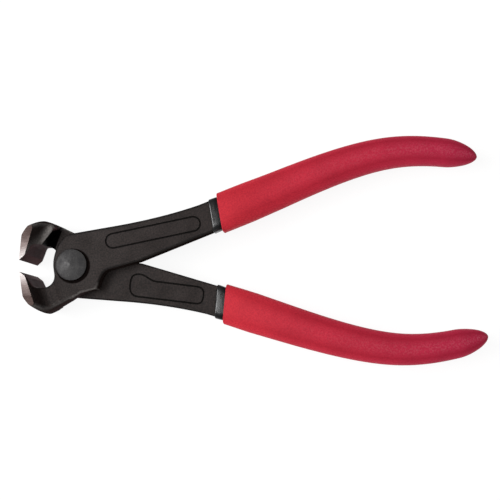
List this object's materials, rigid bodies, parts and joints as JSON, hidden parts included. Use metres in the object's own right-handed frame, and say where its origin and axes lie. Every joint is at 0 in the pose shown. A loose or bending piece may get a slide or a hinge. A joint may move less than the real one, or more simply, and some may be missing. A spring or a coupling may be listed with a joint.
{
  "type": "end-cutting pliers",
  "caption": "Lap-jointed hand tool that cuts across its end: wide transverse jaws on a riveted pivot, forged black levers and long curved red dipped handles.",
  "frame": {"origin": "rivet axis at the flat back of the joint, on the rivet's flush tail", "axes": "+Z along the rivet towards its domed head, +X along the closing line from the jaws to the handles"},
  "size_m": [0.1769, 0.088, 0.025],
  "materials": {
    "forged_steel": "matte black finish on forged steel, cutting faces ground bright",
    "rivet_steel": "dark satin",
    "black_coat": "glossy dipped coat",
    "red_coat": "fine-grained dipped coat"
  },
  "bodies": {
    "front_half": {"front_lever": "forged_steel", "front_undercoat": "black_coat", "front_grip": "red_coat", "pivot_rivet": "rivet_steel"},
    "rear_half": {"rear_lever": "forged_steel", "rear_undercoat": "black_coat", "rear_grip": "red_coat"}
  },
  "joints": [
    {"name": "pivot", "type": "hinge", "parent": "front_half", "child": "rear_half", "pos_m": [0, 0, 0.006], "axis": [0, 0, 1], "range_deg": [-31, 13.5]}
  ]
}
